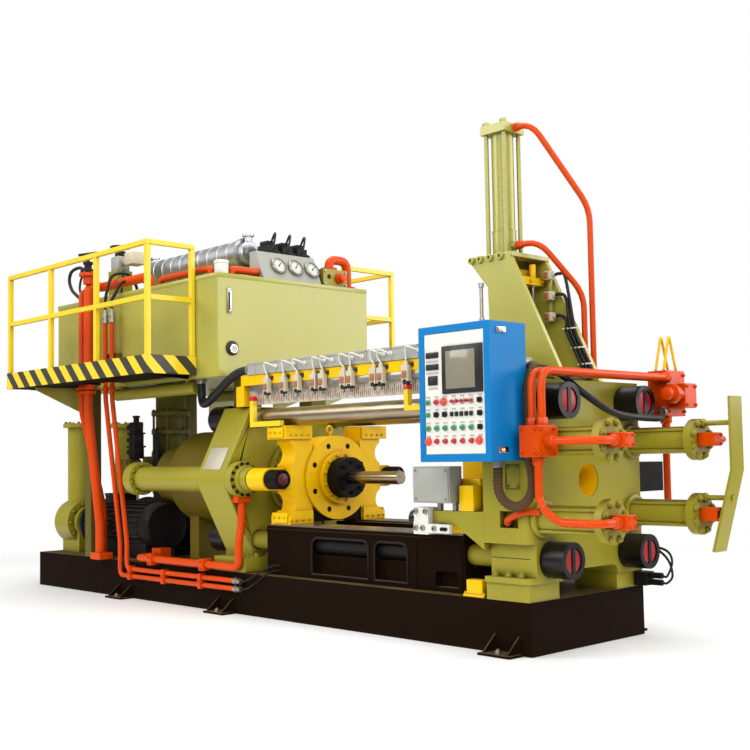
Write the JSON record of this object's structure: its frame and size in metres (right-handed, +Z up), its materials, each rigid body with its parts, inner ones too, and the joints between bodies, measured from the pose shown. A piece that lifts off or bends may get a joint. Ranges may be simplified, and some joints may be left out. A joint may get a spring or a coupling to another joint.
{
  "type": "aluminum extrusion press",
  "caption": "Horizontal hydraulic press that pushes a heated billet through a die: platens on tie rods, sliding crosshead and container, overhead tank, top shear, control cabinet.",
  "frame": {"origin": "middle of the base's underside", "axes": "+X along the press axis toward the exit side, +Y away from the operator side, +Z up"},
  "size_m": [6.836, 2.716, 3.43],
  "materials": {
    "olive_paint": "gloss enamel, worn at edges",
    "base_paint": "dull dark enamel with dust",
    "ground_steel": "ground and oiled",
    "black_steel": "blackened",
    "orange_paint": "gloss enamel",
    "yellow_paint": "gloss enamel",
    "blue_paint": "powder coat",
    "white_paint": "powder coat",
    "grey_paint": "powder coat",
    "beige_plastic": "moulded",
    "conduit_sleeve": "ribbed sleeve",
    "black_rubber": "smooth hose cover",
    "bare_aluminium": "brushed"
  },
  "bodies": {
    "frame": {"base_frame": "base_paint", "base_lugs": "base_paint", "bed": "base_paint", "guide_ways": "ground_steel", "rear_platen": "olive_paint", "main_cylinder": "olive_paint", "side_cylinders": "olive_paint", "glands": "olive_paint", "prefill_valve": "olive_paint", "front_platen": "olive_paint", "tie_rods_upper": "ground_steel", "tie_rods_lower": "olive_paint", "tie_rod_nuts": "black_steel", "container_cylinders": "olive_paint", "port_blocks": "orange_paint", "manifolds": "orange_paint", "front_pipes": "orange_paint", "valve_handles": "yellow_paint", "valve_stack": "black_steel", "guard_plate": "olive_paint", "shear_tower": "olive_paint", "shear_head": "yellow_paint", "shear_cylinder": "olive_paint", "cabinet": "blue_paint", "cabinet_panel": "white_paint", "brackets": "olive_paint", "lock_block": "white_paint", "junction_box": "grey_paint", "conduit": "conduit_sleeve", "front_hose": "black_rubber", "oil_tank": "olive_paint", "tank_supports": "olive_paint", "suction_pipe": "olive_paint", "walkway": "base_paint", "kickplate": "yellow_paint", "handrail_posts": "yellow_paint", "handrail_bars": "yellow_paint", "gauge_panel": "grey_paint", "tank_valves": "black_steel", "cooler": "bare_aluminium", "tank_pipes": "orange_paint", "pumps": "olive_paint", "motors": "black_steel", "riser_pipes": "orange_paint", "tank_hose": "black_rubber", "switch_beam": "yellow_paint", "wiring_duct": "grey_paint", "limit_switches": "beige_plastic", "stroke_scale": "white_paint", "die_slide": "black_steel"},
    "crosshead_body": {"crosshead": "yellow_paint", "plungers": "ground_steel", "rod_nuts": "black_steel", "stem_holder": "black_steel", "stem": "ground_steel", "ram_dog": "yellow_paint"},
    "container_body": {"container": "yellow_paint", "container_rods": "ground_steel", "container_dog": "yellow_paint"}
  },
  "joints": [
    {"name": "crosshead_slide", "type": "slide", "parent": "frame", "child": "crosshead_body", "axis": [1, 0, 0], "range_m": [0, 1.2]},
    {"name": "container_slide", "type": "slide", "parent": "frame", "child": "container_body", "axis": [-1, 0, 0], "range_m": [0, 0.2]}
  ]
}
